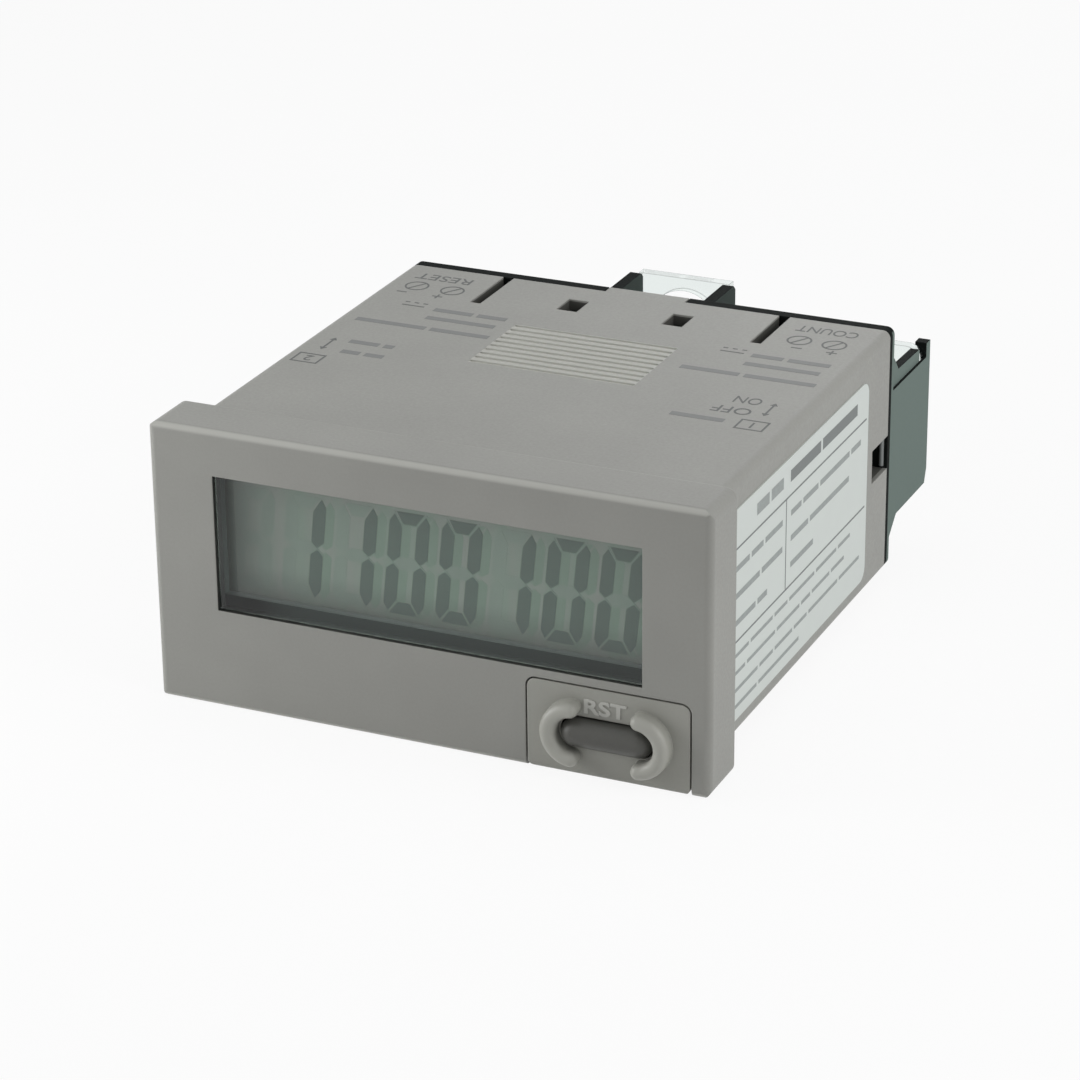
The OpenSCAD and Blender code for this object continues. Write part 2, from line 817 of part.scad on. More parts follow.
module photocoupler() {
    post(coupler_len, coupler_w, [coupler_lead, coupler_lead + coupler_h]);
    for (sx = sides, sy = sides)
        translate([sx * (coupler_len / 2 - lead_w), sy * coupler_w / 4, 0])
            post(lead_w, 2 * lead_w, [0, coupler_lead + past]);
}

module photocouplers() {
    color([0.9, 0.9, 0.88]) for (s = sides)
        translate([s * coupler_x, coupler_y, input_top]) photocoupler();
}

module input_resistors() {
    color([0.1, 0.1, 0.1]) for (i = [0 : resistor_count - 1])
        translate([(i - (resistor_count - 1) / 2) * resistor_pitch - part_x, resistor_y, input_top])
            post(resistor_w, resistor_len, [0, resistor_h]);
}

module filter_capacitor() {
    color([0.12, 0.14, 0.3]) translate([part_x, capacitor_y, input_top])
        cylinder(r = capacitor_r, h = capacitor_h);
}

// Battery
module battery_cell() {
    color([0.7, 0.72, 0.75]) translate([-cell_len / 2, cell_y, cell_z]) rotate([0, 90, 0]) {
        cylinder(r = cell_r, h = cell_len);
        cylinder(r = button_r, h = cell_len + button_t);
    }
}

module battery_holder() {
    x0 = minus_contact_x - contact_t - fit_gap;
    x1 = plus_contact_x + contact_t + fit_gap;
    contact_half = contact_w / 2 + fit_gap;
    contact_y = [cell_y - contact_half, cell_y + contact_half];
    through_z = [input_top - past, holder_top + past];
    color([0.2, 0.2, 0.21]) difference() {
        block([x0 - holder_wall, x1 + holder_wall], [cell_y - holder_half_y, cell_y + holder_half_y],
            [input_top, holder_top]);
        translate([x0, cell_y, cell_z]) rotate([0, 90, 0]) cylinder(r = cell_r + fit_gap, h = x1 - x0);
        block([x0, minus_contact_x + fit_gap], contact_y, through_z);
        block([plus_contact_x - fit_gap, x1], contact_y, through_z);
    }
}

module battery_contacts() {
    y = [cell_y - contact_w / 2, cell_y + contact_w / 2];
    color([0.8, 0.78, 0.7]) for (x = [minus_contact_x - contact_t, plus_contact_x])
        block([x, x + contact_t], y, [input_top, contact_top]);
}

// Mode switch
module mode_switch() {
    gap = 2 * fit_gap;
    color([0.15, 0.3, 0.55]) translate([0, mode_y, 0]) difference() {
        post(mode_w, mode_len, [mode_low, mode_top]);
        for (s = sides) translate([s * slider_x, 0, 0]) {
            post(slider_base_w + gap, slider_base_len + slider_travel + gap,
                [mode_top - slider_pocket, mode_top + past]);
            post(knob_w + gap, knob_len + slider_travel + gap, [mode_low - past, mode_top]);
        }
    }
}

module mode_slider(x) {
    base_low = mode_top - slider_pocket + close_gap;
    base_top = mode_top - close_gap;
    color([0.92, 0.92, 0.9]) translate([x, mode_y - slider_travel / 2, 0]) {
        post(slider_base_w, slider_base_len, [base_low, base_top]);
        post(knob_w, knob_len, [under_z + knob_inset, base_top]);
    }
}

module key_protect_slider() {
    mode_slider(slider_x);
}

module speed_slider() {
    mode_slider(-slider_x);
}

// Terminal block
module block_rim() {
    along_y(body_len, rim_rear) difference() {
        rounded_rect(body_w, body_h, body_r);
        for (s = sides)
            translate([0, s * (cavity_h / 2 + body_h / 2 - fit_gap)])
                square([tongue_w + 2 * fit_gap, body_h], center = true);
    }
}

module block_collar() {
    difference() {
        along_y(collar_front, rim_rear) square([collar_w, collar_h], center = true);
        along_y(collar_front - past, body_len - block_floor)
            square([collar_w - 2 * collar_wall, collar_h - 2 * collar_wall], center = true);
    }
}

// Hooks with a lead-in ramp that spring into the latch windows
module latch_hooks() {
    half_w = latch_window_w / 2 - loose_gap;
    half_len = latch_window_len / 2 - loose_gap;
    root = collar_h / 2;
    for (s = sides)
        along_x(s * latch_x - half_w, s * latch_x + half_w) translate([body_len - latch_from_rear, root])
            polygon([[-half_len, -collar_wall / 2], [half_len, -collar_wall / 2], [half_len, hook_h],
                [0, hook_h], [-half_len, 0]]);
}

// Ribs that key the block in the long slots of the case
module slot_keys() {
    half = slot_w / 2 - fit_gap;
    for (s = sides)
        block([s * slot_x - half, s * slot_x + half], [body_len - slot_key_len, root_y],
            [collar_h / 2 - collar_wall / 2, collar_h / 2 + hook_h]);
}

module side_rib() {
    translate([collar_w / 2 + hook_h / 2 - collar_wall / 4, body_len - notch_len / 2, 0])
        post(hook_h + collar_wall / 2, hook_h, [loose_gap - notch_h / 2, notch_h / 2 - loose_gap]);
}

module barrier_profile() {
    polygon([[root_y, barrier_bottom], [barrier_rear, barrier_bottom], [barrier_rear, barrier_top],
        [slope_foot, barrier_top + barrier_rise], [rim_rear + shoulder_len, shoulder_top],
        [root_y, shoulder_top]]);
}

module side_barrier() {
    along_x(side_wall_x - barrier_t / 2, side_wall_x + barrier_t / 2) barrier_profile();
}

module middle_wall() {
    along_x(middle_wall_x - barrier_t / 2, middle_wall_x + barrier_t / 2)
        polygon([[root_y, barrier_bottom], [barrier_rear, barrier_bottom],
            [barrier_rear, middle_top - middle_chamfer], [barrier_rear - middle_chamfer, middle_top],
            [root_y, middle_top]]);
}

// Outer wall with its thin skin, the post behind the cover and the gusset below
module outer_wall() {
    along_x(outer_inner, groove_x) barrier_profile();
    along_x(outer_inner, outer_face)
        polygon([[root_y, gusset_bottom], [rim_rear, gusset_bottom], [gusset_y, barrier_bottom],
            [rear_y - corner_cut, barrier_bottom], [rear_y, barrier_bottom + corner_cut_h],
            [rear_y, skin_top], [root_y, skin_top]]);
    block([outer_inner, outer_face], [cover_rear + fit_gap, rear_y], [skin_top - past, post_top]);
}

module cover_groove() {
    block([outer_inner - past, groove_x], [barrier_rear, cover_rear + fit_gap],
        [groove_low, shoulder_top + past]);
}

module terminal_seats() {
    block([middle_wall_x, outer_inner + barrier_t / 2], [root_y, seat_y],
        [terminal_z - seat_below, terminal_z + seat_above]);
}

module tail_slot() {
    post(tail_w + 2 * loose_gap, 2 * (seat_y - body_len + block_floor) + past,
        [tail_low - loose_gap, tail_low + terminal_plate_t + loose_gap]);
}

module terminal_block() {
    color([0.15, 0.16, 0.16]) difference() {
        union() {
            block_rim();
            block_collar();
            top_and_bottom() {
                latch_hooks();
                slot_keys();
            }
            right_and_left() {
                side_rib();
                middle_wall();
                side_barrier();
                outer_wall();
                terminal_seats();
            }
        }
        right_and_left() cover_groove();
        for (x = terminal_x) {
            rod_y(x, terminal_z, screw_hole_r, washer_face - shank_len - loose_gap, seat_y + past);
            translate([x, seat_y, 0]) tail_slot();
        }
    }
}

// Terminals
module terminal_plates() {
    half = terminal_plate_w / 2;
    color([0.78, 0.76, 0.7]) for (x = terminal_x) {
        difference() {
            block([x - half, x + half], [seat_y, plate_face], [tail_low, terminal_z + terminal_plate_above]);
            rod_y(x, terminal_z, screw_r + close_gap, seat_y - past, plate_face + past);
        }
        block([x - tail_w / 2, x + tail_w / 2], [input_rear - tail_on_board, plate_face],
            [tail_low, tail_low + terminal_plate_t]);
    }
}

module clamp_washers() {
    color([0.8, 0.8, 0.8]) for (x = terminal_x) difference() {
        translate([x, 0, terminal_z]) along_y(plate_face, washer_face)
            rounded_rect(terminal_plate_w, terminal_plate_w, washer_corner_r);
        rod_y(x, terminal_z, screw_r + close_gap, plate_face - past, washer_face + past);
    }
}

module head_section() {
    r = head_edge_r;
    square([head_r, head_h - r]);
    square([head_r - r, head_h]);
    translate([head_r - r, head_h - r]) circle(r);
}

module terminal_screw() {
    difference() {
        union() {
            rotate([-90, 0, 0]) rotate_extrude() head_section();
            rod_y(0, 0, screw_r, -shank_len, head_h / 2);
        }
        for (turn = [0, 90]) rotate([0, turn, 0])
            block([-cross_len / 2, cross_len / 2], [head_h - cross_deep, head_h + past],
                [-cross_w / 2, cross_w / 2]);
    }
}

module terminal_screws() {
    color([0.8, 0.8, 0.82]) for (x = terminal_x)
        translate([x, washer_face, terminal_z]) terminal_screw();
}

module cover_outline() {
    r = cover_corner_r;
    translate([-cover_half_w, cover_low]) square([2 * cover_half_w, cover_top - cover_low - r]);
    translate([r - cover_half_w, cover_low]) square([2 * (cover_half_w - r), cover_top - cover_low]);
    for (s = sides)
        translate([s * (cover_half_w - r), cover_top - r]) circle(r);
    translate([-tab_w / 2, cover_low]) square([tab_w, tab_top - cover_low]);
}

module terminal_cover() {
    color([0.85, 0.9, 0.88, 0.35]) difference() {
        along_y(cover_front, cover_rear) cover_outline();
        for (x = terminal_x)
            rod_y(x, terminal_z, access_r, cover_front - past, cover_rear + past);
        rod_y(0, middle_hole_z, access_r, cover_front - past, cover_rear + past);
    }
}

// Label
module side_label() {
    y0 = label_start;
    y1 = body_len - label_from_rear;
    r = label_r;
    color([0.88, 0.9, 0.88]) along_x(body_w / 2, body_w / 2 + label_t) translate([0, label_z]) {
        translate([y0, -label_h / 2]) square([y1 - y0 - r, label_h]);
        translate([y0, r - label_h / 2]) square([y1 - y0, label_h - 2 * r]);
        for (s = sides)
            translate([y1 - r, s * (label_h / 2 - r)]) circle(r);
    }
}

case();
display_window();
lcd_panel();
lcd_frame();
upper_contact_strip();
lower_contact_strip();
reset_key_plate();
reset_key();
reset_switch();
reset_plunger();
display_board();
counter_chip();
clock_crystal();
input_board();
board_header();
photocouplers();
input_resistors();
filter_capacitor();
battery_cell();
battery_holder();
battery_contacts();
mode_switch();
key_protect_slider();
speed_slider();
terminal_block();
terminal_plates();
clamp_washers();
terminal_screws();
terminal_cover();
side_label();
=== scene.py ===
import math

import bmesh
import bpy
from mathutils import Matrix, Quaternion, Vector


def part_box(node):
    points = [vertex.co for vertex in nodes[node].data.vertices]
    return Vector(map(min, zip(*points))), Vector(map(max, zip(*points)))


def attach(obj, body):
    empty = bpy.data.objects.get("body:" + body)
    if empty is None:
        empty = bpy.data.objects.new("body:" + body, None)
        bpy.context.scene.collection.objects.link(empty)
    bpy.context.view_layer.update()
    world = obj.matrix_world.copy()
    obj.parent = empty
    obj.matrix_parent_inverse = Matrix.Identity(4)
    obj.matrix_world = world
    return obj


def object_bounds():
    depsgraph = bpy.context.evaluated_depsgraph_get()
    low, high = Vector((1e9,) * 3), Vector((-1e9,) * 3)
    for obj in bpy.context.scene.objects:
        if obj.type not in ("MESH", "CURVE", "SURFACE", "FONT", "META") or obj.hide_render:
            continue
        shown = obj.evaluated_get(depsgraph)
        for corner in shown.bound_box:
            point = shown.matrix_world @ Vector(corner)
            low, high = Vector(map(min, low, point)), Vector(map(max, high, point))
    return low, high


# Panel counter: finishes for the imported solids, the display's figures, the printed marks, light and camera.
# Named sizes and places are millimetres in the part's own frame, and MM turns them into metres.

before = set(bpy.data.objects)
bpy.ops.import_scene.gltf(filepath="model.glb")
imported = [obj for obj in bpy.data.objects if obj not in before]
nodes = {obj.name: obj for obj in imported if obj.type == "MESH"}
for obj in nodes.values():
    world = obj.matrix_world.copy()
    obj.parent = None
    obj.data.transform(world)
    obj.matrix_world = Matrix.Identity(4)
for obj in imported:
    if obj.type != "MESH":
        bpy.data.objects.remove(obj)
cad_low, cad_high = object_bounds()
scene = bpy.context.scene
MM = 0.001
WINDOW_HALF_W = 18.35
WINDOW_HALF_H = 5.8
WINDOW_Z = 2.35
MASK_FADE = 0.05


# Colours and shader nodes

def linear(channel):
    """One 8-bit sRGB channel as a linear value."""
    value = channel / 255
    return value / 12.92 if value <= 0.04045 else ((value + 0.055) / 1.055) ** 2.4


def colour(red, green, blue):
    return (linear(red), linear(green), linear(blue), 1)


def shade(base, factor):
    """A lighter or darker colour."""
    return tuple(min(1, channel * factor) for channel in base[:3]) + (1,)


def node(tree, kind, settings=None, **sockets):
    """Adds a node. A socket's value is a number, a colour or another node's output."""
    made = tree.nodes.new(kind)
    for key, value in (settings or {}).items():
        setattr(made, key, value)
    for key, value in sockets.items():
        socket = made.inputs[key.replace("_", " ")]
        if isinstance(value, bpy.types.NodeSocket):
            tree.links.new(value, socket)
        else:
            socket.default_value = value
    return made


def material_tree(name):
    material = bpy.data.materials.new(name)
    material.use_nodes = True
    tree = material.node_tree
    return material, tree, tree.nodes["Principled BSDF"]


def object_coords(tree, stretch=None):
    """Coordinates in the part's frame, stretched along an axis for brushed or banded patterns."""
    coords = node(tree, "ShaderNodeTexCoord").outputs["Object"]
    if stretch is None:
        return coords
    return node(tree, "ShaderNodeMapping", Vector=coords, Scale=stretch).outputs["Vector"]


def noise(tree, size, detail=2.0, stretch=None):
    """Noise whose features are about size millimetres wide."""
    coords = object_coords(tree, stretch)
    made = node(tree, "ShaderNodeTexNoise", Vector=coords, Scale=1 / (size * MM), Detail=detail)
    return made.outputs["Fac"]


def spread(tree, value, low, high, from_low=0.3, from_high=0.7):
    """Maps a value from one range to another."""
    made = node(tree, "ShaderNodeMapRange", Value=value, From_Min=from_low, From_Max=from_high,
                To_Min=low, To_Max=high)
    return made.outputs["Result"]


def blend(tree, factor, first, second):
    made = node(tree, "ShaderNodeMixRGB", Fac=factor, Color1=first, Color2=second)
    return made.outputs["Color"]


def multiply(tree, first, second):
    made = node(tree, "ShaderNodeMath", {"operation": "MULTIPLY"})
    for socket, value in zip(made.inputs, (first, second)):
        tree.links.new(value, socket)
    return made.outputs["Value"]


def all_of(tree, *masks):
    """The product of masks: 1 only where every one of them is."""
    joined = masks[0]
    for mask in masks[1:]:
        joined = multiply(tree, joined, mask)
    return joined


def size_of(tree, value):
    """A value without its sign."""
    made = node(tree, "ShaderNodeMath", {"operation": "ABSOLUTE"})
    tree.links.new(value, made.inputs[0])
    return made.outputs["Value"]


def axis(tree, name):
    """One coordinate of the part's frame, in metres."""
    return node(tree, "ShaderNodeSeparateXYZ", Vector=object_coords(tree)).outputs[name]


def ramp_at(tree, name, start, end):
    """A value that climbs from 0 to 1 between two places along an axis."""
    return spread(tree, axis(tree, name), 0, 1, start * MM, end * MM)


def between(tree, name, low, high):
    """1 between two places along an axis."""
    rising = ramp_at(tree, name, low, low + MASK_FADE)
    falling = ramp_at(tree, name, high + MASK_FADE, high)
    return multiply(tree, rising, falling)


def within(tree, name, reach):
    """1 on both sides of the part's middle, as far as a distance along an axis."""
    return spread(tree, size_of(tree, axis(tree, name)), 1, 0, reach * MM, (reach + MASK_FADE) * MM)


def beyond(tree, name, reach, nearer=0):
    """1 on both sides of the part's middle, from a distance on, and a smaller value nearer to it."""
    return spread(tree, size_of(tree, axis(tree, name)), nearer, 1, reach * MM, (reach + MASK_FADE) * MM)


def soft_normal(tree, radius):
    return node(tree, "ShaderNodeBevel", {"samples": 6}, Radius=radius * MM).outputs["Normal"]


def edge_mask(tree, rounded):
    """1 on edges and corners, and 0 on flat faces."""
    turned, level = 0.8, 0.99
    face = node(tree, "ShaderNodeNewGeometry").outputs["Normal"]
    made = node(tree, "ShaderNodeVectorMath", {"operation": "DOT_PRODUCT"})
    tree.links.new(rounded, made.inputs[0])
    tree.links.new(face, made.inputs[1])
    return spread(tree, made.outputs["Value"], 1, 0, turned, level)


def relief(tree, height, depth, normal, strength=0.5):
    made = node(tree, "ShaderNodeBump", Height=height, Distance=depth * MM, Strength=strength, Normal=normal)
    return made.outputs["Normal"]


# Materials

def moulded(name, base, rough, depth=0.012, edge=0.14, rim=1.12, specular=0.5):
    """Moulded plastic: fine spark-eroded grain, a slow drift of tone, softened edges, and paler edges that
    are a painted highlight.
    """
    grain_size, drift_size, mottle = 0.25, 9, 0.04
    speckle, speckle_tone = 0.12, 0.8
    smoother, rougher = 0.05, 0.08
    material, tree, shader = material_tree(name)
    fine = noise(tree, grain_size, detail=3)
    drift = noise(tree, drift_size)
    rounded = soft_normal(tree, edge)
    body = blend(tree, spread(tree, drift, 0, 1), shade(base, 1 - mottle), shade(base, 1 + mottle))
    speckled = blend(tree, spread(tree, fine, 0, speckle), body, shade(base, speckle_tone))
    # rim makes every edge paler: a painted highlight
    edged = blend(tree, edge_mask(tree, rounded), speckled, shade(base, rim))
    tree.links.new(edged, shader.inputs["Base Color"])
    tree.links.new(spread(tree, fine, rough - smoother, rough + rougher), shader.inputs["Roughness"])
    tree.links.new(relief(tree, fine, depth, rounded), shader.inputs["Normal"])
    shader.inputs["Specular IOR Level"].default_value = specular
    return material


def metal(name, base, rough, stretch, size=0.5):
    """Plated or rolled metal with fine drawn lines and a drift of tone."""
    mottle, smoother, rougher = 0.1, 0.08, 0.1
    line_depth, line_strength, edge = 0.01, 0.3, 0.08
    material, tree, shader = material_tree(name)
    lines = noise(tree, size, detail=4, stretch=stretch)
    tone = blend(tree, spread(tree, lines, 0, 1), shade(base, 1 - mottle), shade(base, 1 + mottle))
    tree.links.new(tone, shader.inputs["Base Color"])
    tree.links.new(spread(tree, lines, rough - smoother, rough + rougher), shader.inputs["Roughness"])
    drawn_lines_and_side_sheen = relief(tree, lines, line_depth, soft_normal(tree, edge), line_strength)
    tree.links.new(drawn_lines_and_side_sheen, shader.inputs["Normal"])
    shader.inputs["Metallic"].default_value = 1
    return material


def clear(name, tint, bend, haze, edge=None, edge_shade_tone=None):
    """Clear moulded plastic with faint haze, and darker edges if asked, which are painted shade. It lets
    shadow rays through.
    """
    haze_size = 3
    material, tree, shader = material_tree(name)
    tree.links.new(spread(tree, noise(tree, haze_size, detail=3), 0, haze), shader.inputs["Roughness"])
    shader.inputs["Base Color"].default_value = tint
    if edge:
        # Painted shade: the edges of the clear plastic are darkened
        edged = blend(tree, edge_mask(tree, soft_normal(tree, edge)), tint, shade(tint, edge_shade_tone))
        tree.links.new(edged, shader.inputs["Base Color"])
    shader.inputs["Transmission Weight"].default_value = 1
    shader.inputs["IOR"].default_value = bend
    through = node(tree, "ShaderNodeBsdfTransparent", Color=tint).outputs["BSDF"]
    shadow = node(tree, "ShaderNodeLightPath").outputs["Is Shadow Ray"]
    mixed = node(tree, "ShaderNodeMixShader", Fac=shadow)
    tree.links.new(shader.outputs["BSDF"], mixed.inputs[1])
    tree.links.new(through, mixed.inputs[2])
    tree.links.new(mixed.outputs["Shader"], tree.nodes["Material Output"].inputs["Surface"])
    return material


def printed(name, base, rough, size, mottle):
    """Ink or film with a slightly uneven tone."""
    uneven = 0.06
    material, tree, shader = material_tree(name)
    patch = noise(tree, size, detail=3)
    tone = blend(tree, spread(tree, patch, 0, 1), shade(base, 1 - mottle), shade(base, 1 + mottle))
    tree.links.new(tone, shader.inputs["Base Color"])
    tree.links.new(spread(tree, patch, rough - uneven, rough + uneven), shader.inputs["Roughness"])
    return material


def ink(name, base):
    """Printing ink on the case or the label."""
    return printed(name, base, rough=0.5, size=0.4, mottle=0.12)


def repaint(material):
    """A material's tree, the socket of its colour, and the colour that goes in so far."""
    socket = material.node_tree.nodes["Principled BSDF"].inputs["Base Color"]
    return material.node_tree, socket, socket.links[0].from_socket


def grip_field(tree):
    """The ridged field on the top of the case and underneath."""
    half_w, start, end, floor = 7.4, 19.2, 28.8, 10.5
    return all_of(tree, within(tree, "X", half_w), beyond(tree, "Z", floor), between(tree, "Y", start, end))


def grip_colour(tree):
    """Creamy ridges with paler grooves between them."""
    ridge_from = 10.85
    return blend(tree, beyond(tree, "Z", ridge_from), colour(205, 205, 199), colour(177, 177, 170))


def window_wall_shade(tree):
    """The walls of the window round its pane, where painted shade darkens the case."""
    front, rear, room = -4.97, -3.35, 0.02
    half_w, half_h = WINDOW_HALF_W + room, WINDOW_HALF_H + room
    level = between(tree, "Z", WINDOW_Z - half_h - MASK_FADE, WINDOW_Z + half_h)
    return all_of(tree, within(tree, "X", half_w), level, between(tree, "Y", front, rear))


def slot_wall_shade(tree):
    """The inner walls of the slots, latch windows and notches, where painted shade darkens the case."""
    start, half_w, half_h = 30, 22, 10.75
    behind = ramp_at(tree, "Y", start, start + MASK_FADE)
    return all_of(tree, within(tree, "Z", half_h), within(tree, "X", half_w), behind)


def front_edge_highlight(tree):
    """Where the painted highlight goes: the bezel's upper and lower front edges, found by the tilt of their
    rounding.
    """
    edge, rear, half_h = 0.2, -3.9, 11
    least_tilt, full_tilt = 0.25, 0.46
    facing = node(tree, "ShaderNodeSeparateXYZ", Vector=soft_normal(tree, edge)).outputs
    tilt = multiply(tree, size_of(tree, facing["Y"]), size_of(tree, facing["Z"]))
    tilted = spread(tree, tilt, 0, 1, least_tilt, full_tilt)
    return all_of(tree, tilted, beyond(tree, "Z", half_h), ramp_at(tree, "Y", rear, rear - MASK_FADE))


def case_plastic():
    """The case's grey, with a paler grip, painted shade on the walls in its openings and a painted highlight
    on the front edges.
    """
    highlight_tone = 1.5
    base = colour(148, 148, 143)
    material = moulded("case_grey", base, 0.46, rim=1.2)
    tree, socket, tone = repaint(material)
    tone = blend(tree, grip_field(tree), tone, grip_colour(tree))
    # Painted shade: the walls of the window opening are given a dark grey
    tone = blend(tree, window_wall_shade(tree), tone, colour(46, 47, 44))
    # Painted shade: the inner walls of the slots and notches are given a darker grey
    tone = blend(tree, slot_wall_shade(tree), tone, colour(86, 86, 82))
    # Painted highlight: the bezel's upper and lower front edges are made paler
    tone = blend(tree, front_edge_highlight(tree), tone, shade(base, highlight_tone))
    tree.links.new(tone, socket)
    return material


def plate_plastic():
    """The key plate's grey plastic, with its guards made paler by a painted highlight."""
    guard_from, guard_fade, guard_highlight_tone = -5.1, 0.25, 1.16
    base = colour(155, 155, 148)
    material = moulded("plate_grey", base, 0.42, rim=1.25)
    tree, socket, tone = repaint(material)
    # Painted highlight: the guards, which stand out from the plate, are made paler
    guard_highlight = ramp_at(tree, "Y", guard_from, guard_from - guard_fade)
    tree.links.new(blend(tree, guard_highlight, tone, shade(base, guard_highlight_tone)), socket)
    return material


def terminal_plastic():
    """Black moulding whose side faces come out paler, most of all outside, as a painted sheen, and whose
    latch-rib faces carry a pale painted highlight.
    """
    side_from, outer_skin, inner_share = 40.0, 21.9, 0.3
    rib_skin, rib_to = 21.2, 38.2
    side_on, side_full = 0.8, 0.95
    material = moulded("terminal_black", colour(30, 33, 32), 0.5, rim=1.6, specular=0.008)
    tree, socket, tone = repaint(material)
    facing = node(tree, "ShaderNodeNewGeometry").outputs["True Normal"]
    sideways = size_of(tree, node(tree, "ShaderNodeSeparateXYZ", Vector=facing).outputs["X"])
    side = spread(tree, sideways, 0, 1, side_on, side_full)
    skin = beyond(tree, "X", outer_skin, inner_share)
    # Painted sheen: the side faces of the block, most of all the outer skin, are made paler
    drawn_lines_and_side_sheen = all_of(tree, side, skin, ramp_at(tree, "Y", side_from, side_from + MASK_FADE))
    tone = blend(tree, drawn_lines_and_side_sheen, tone, colour(115, 128, 123))
    # Painted highlight: the side faces of the latch ribs in the notches are made pale
    rib_highlight = all_of(tree, side, beyond(tree, "X", rib_skin), ramp_at(tree, "Y", rib_to + MASK_FADE, rib_to))
    tree.links.new(blend(tree, rib_highlight, tone, colour(156, 158, 157)), socket)
    return material


def display_finish(name, first, second, dim=0.36):
    """Reflective liquid-crystal glass in upright bands of two tones, with painted shade towards the left and
    below, where the window's walls shade it.
    """
    band_size, band_stretch = 1.6, (1, 1, 0.06)
    dim_left, clear_left, dim_below, clear_below = -18.5, -15.3, -2.9, 0.1
    patch_size, smooth, rough, specular = 4, 0.3, 0.42, 0.25
    shaded, unshaded = (dim, dim, dim, 1), (1, 1, 1, 1)
    material, tree, shader = material_tree(name)
    bands = noise(tree, band_size, detail=1, stretch=band_stretch)
    tone = blend(tree, spread(tree, bands, 0, 1), first, second)
    # Painted shade: the tone dims towards the left and lower edges of the display
    lit = multiply(tree, ramp_at(tree, "X", dim_left, clear_left), ramp_at(tree, "Z", dim_below, clear_below))
    painted_shade = blend(tree, lit, shaded, unshaded)
    edged = node(tree, "ShaderNodeMixRGB", {"blend_type": "MULTIPLY"}, Fac=1.0, Color1=tone, Color2=painted_shade)
    tree.links.new(edged.outputs["Color"], shader.inputs["Base Color"])
    tree.links.new(spread(tree, noise(tree, patch_size), smooth, rough), shader.inputs["Roughness"])
    shader.inputs["Specular IOR Level"].default_value = specular
    return material


def board_laminate():
    """Green solder resist over copper tracks that run along the board."""
    track_size, track_offset = 6, 0.35
    patch_size, smooth, rough = 1, 0.25, 0.4
    material, tree, shader = material_tree("board_green")
    tracks = node(tree, "ShaderNodeTexBrick", {"offset": track_offset}, Vector=object_coords(tree),
                  Scale=1 / (track_size * MM), Color1=colour(30, 92, 58), Color2=colour(38, 104, 66),
                  Mortar=colour(52, 122, 74))
    tree.links.new(tracks.outputs["Color"], shader.inputs["Base Color"])
    tree.links.new(spread(tree, noise(tree, patch_size), smooth, rough), shader.inputs["Roughness"])
    return material


finishes = {
    "case_grey": case_plastic(),
    "plate_grey": plate_plastic(),
    "key_dark": moulded("key_dark", colour(77, 77, 73), 0.42, rim=1.25),
    "clear_pane": clear("clear_pane", colour(242, 249, 246), bend=1.45, haze=0.006),
    "lcd_glass": display_finish("lcd_glass", colour(121, 132, 122), colour(130, 131, 126)),
    "frame_black": moulded("frame_black", colour(97, 104, 102), 0.5),
    "elastomer": moulded("elastomer", colour(178, 172, 160), 0.6, rim=1.05),
    "chip_black": moulded("chip_black", colour(38, 38, 40), 0.45, depth=0.008),
    "plunger_cream": moulded("plunger_cream", colour(206, 198, 172), 0.4),
    "board_green": board_laminate(),
    "coupler_white": moulded("coupler_white", colour(226, 225, 220), 0.45),
    "capacitor_sleeve": printed("capacitor_sleeve", colour(40, 46, 88), 0.3, size=2, mottle=0.08),
    "cell_metal": metal("cell_metal", colour(188, 192, 198), 0.3, stretch=(8, 1, 1)),
    "contact_metal": metal("contact_metal", colour(206, 198, 176), 0.3, stretch=(1, 1, 8)),
    "plated_metal": metal("plated_metal", colour(204, 204, 206), 0.28, stretch=(1, 1, 4), size=0.3),
    "switch_blue": moulded("switch_blue", colour(44, 84, 142), 0.42),
    "slider_white": moulded("slider_white", colour(232, 232, 226), 0.4),
    "terminal_black": terminal_plastic(),
    "clear_cover": clear("clear_cover", colour(238, 244, 242), bend=1.3, haze=0.02, edge=0.16,
                         edge_shade_tone=0.18),
    "label_white": printed("label_white", colour(208, 214, 210), 0.45, size=2, mottle=0.02),
}
node_finish = {
    "case": "case_grey", "display_window": "clear_pane", "lcd_panel": "lcd_glass", "lcd_frame": "frame_black",
    "upper_contact_strip": "elastomer", "lower_contact_strip": "elastomer", "reset_key_plate": "plate_grey",
    "reset_key": "key_dark", "reset_switch": "chip_black", "reset_plunger": "plunger_cream",
    "display_board": "board_green", "counter_chip": "chip_black", "clock_crystal": "plated_metal",
    "input_board": "board_green", "board_header": "chip_black", "photocouplers": "coupler_white",
    "input_resistors": "chip_black", "filter_capacitor": "capacitor_sleeve", "battery_cell": "cell_metal",
    "battery_holder": "frame_black", "battery_contacts": "contact_metal", "mode_switch": "switch_blue",
    "key_protect_slider": "slider_white", "speed_slider": "slider_white", "terminal_block": "terminal_black",
    "terminal_plates": "contact_metal", "clamp_washers": "plated_metal", "terminal_screws": "plated_metal",
    "terminal_cover": "clear_cover", "side_label": "label_white",
}
for name, finish in node_finish.items():
    nodes[name].data.materials.clear()
    nodes[name].data.materials.append(finishes[finish])


# Flat pieces on the part's faces

def placed(origin, right, up):
    """The frame of a face at an origin in metres: u right, v up and w out of the face, in millimetres."""
    u, v = Vector(right), Vector(up)
    w = u.cross(v)
    turn = Matrix((u, v, w)).transposed().to_4x4()
    return Matrix.Translation(Vector(origin)) @ turn @ Matrix.Scale(MM, 4)


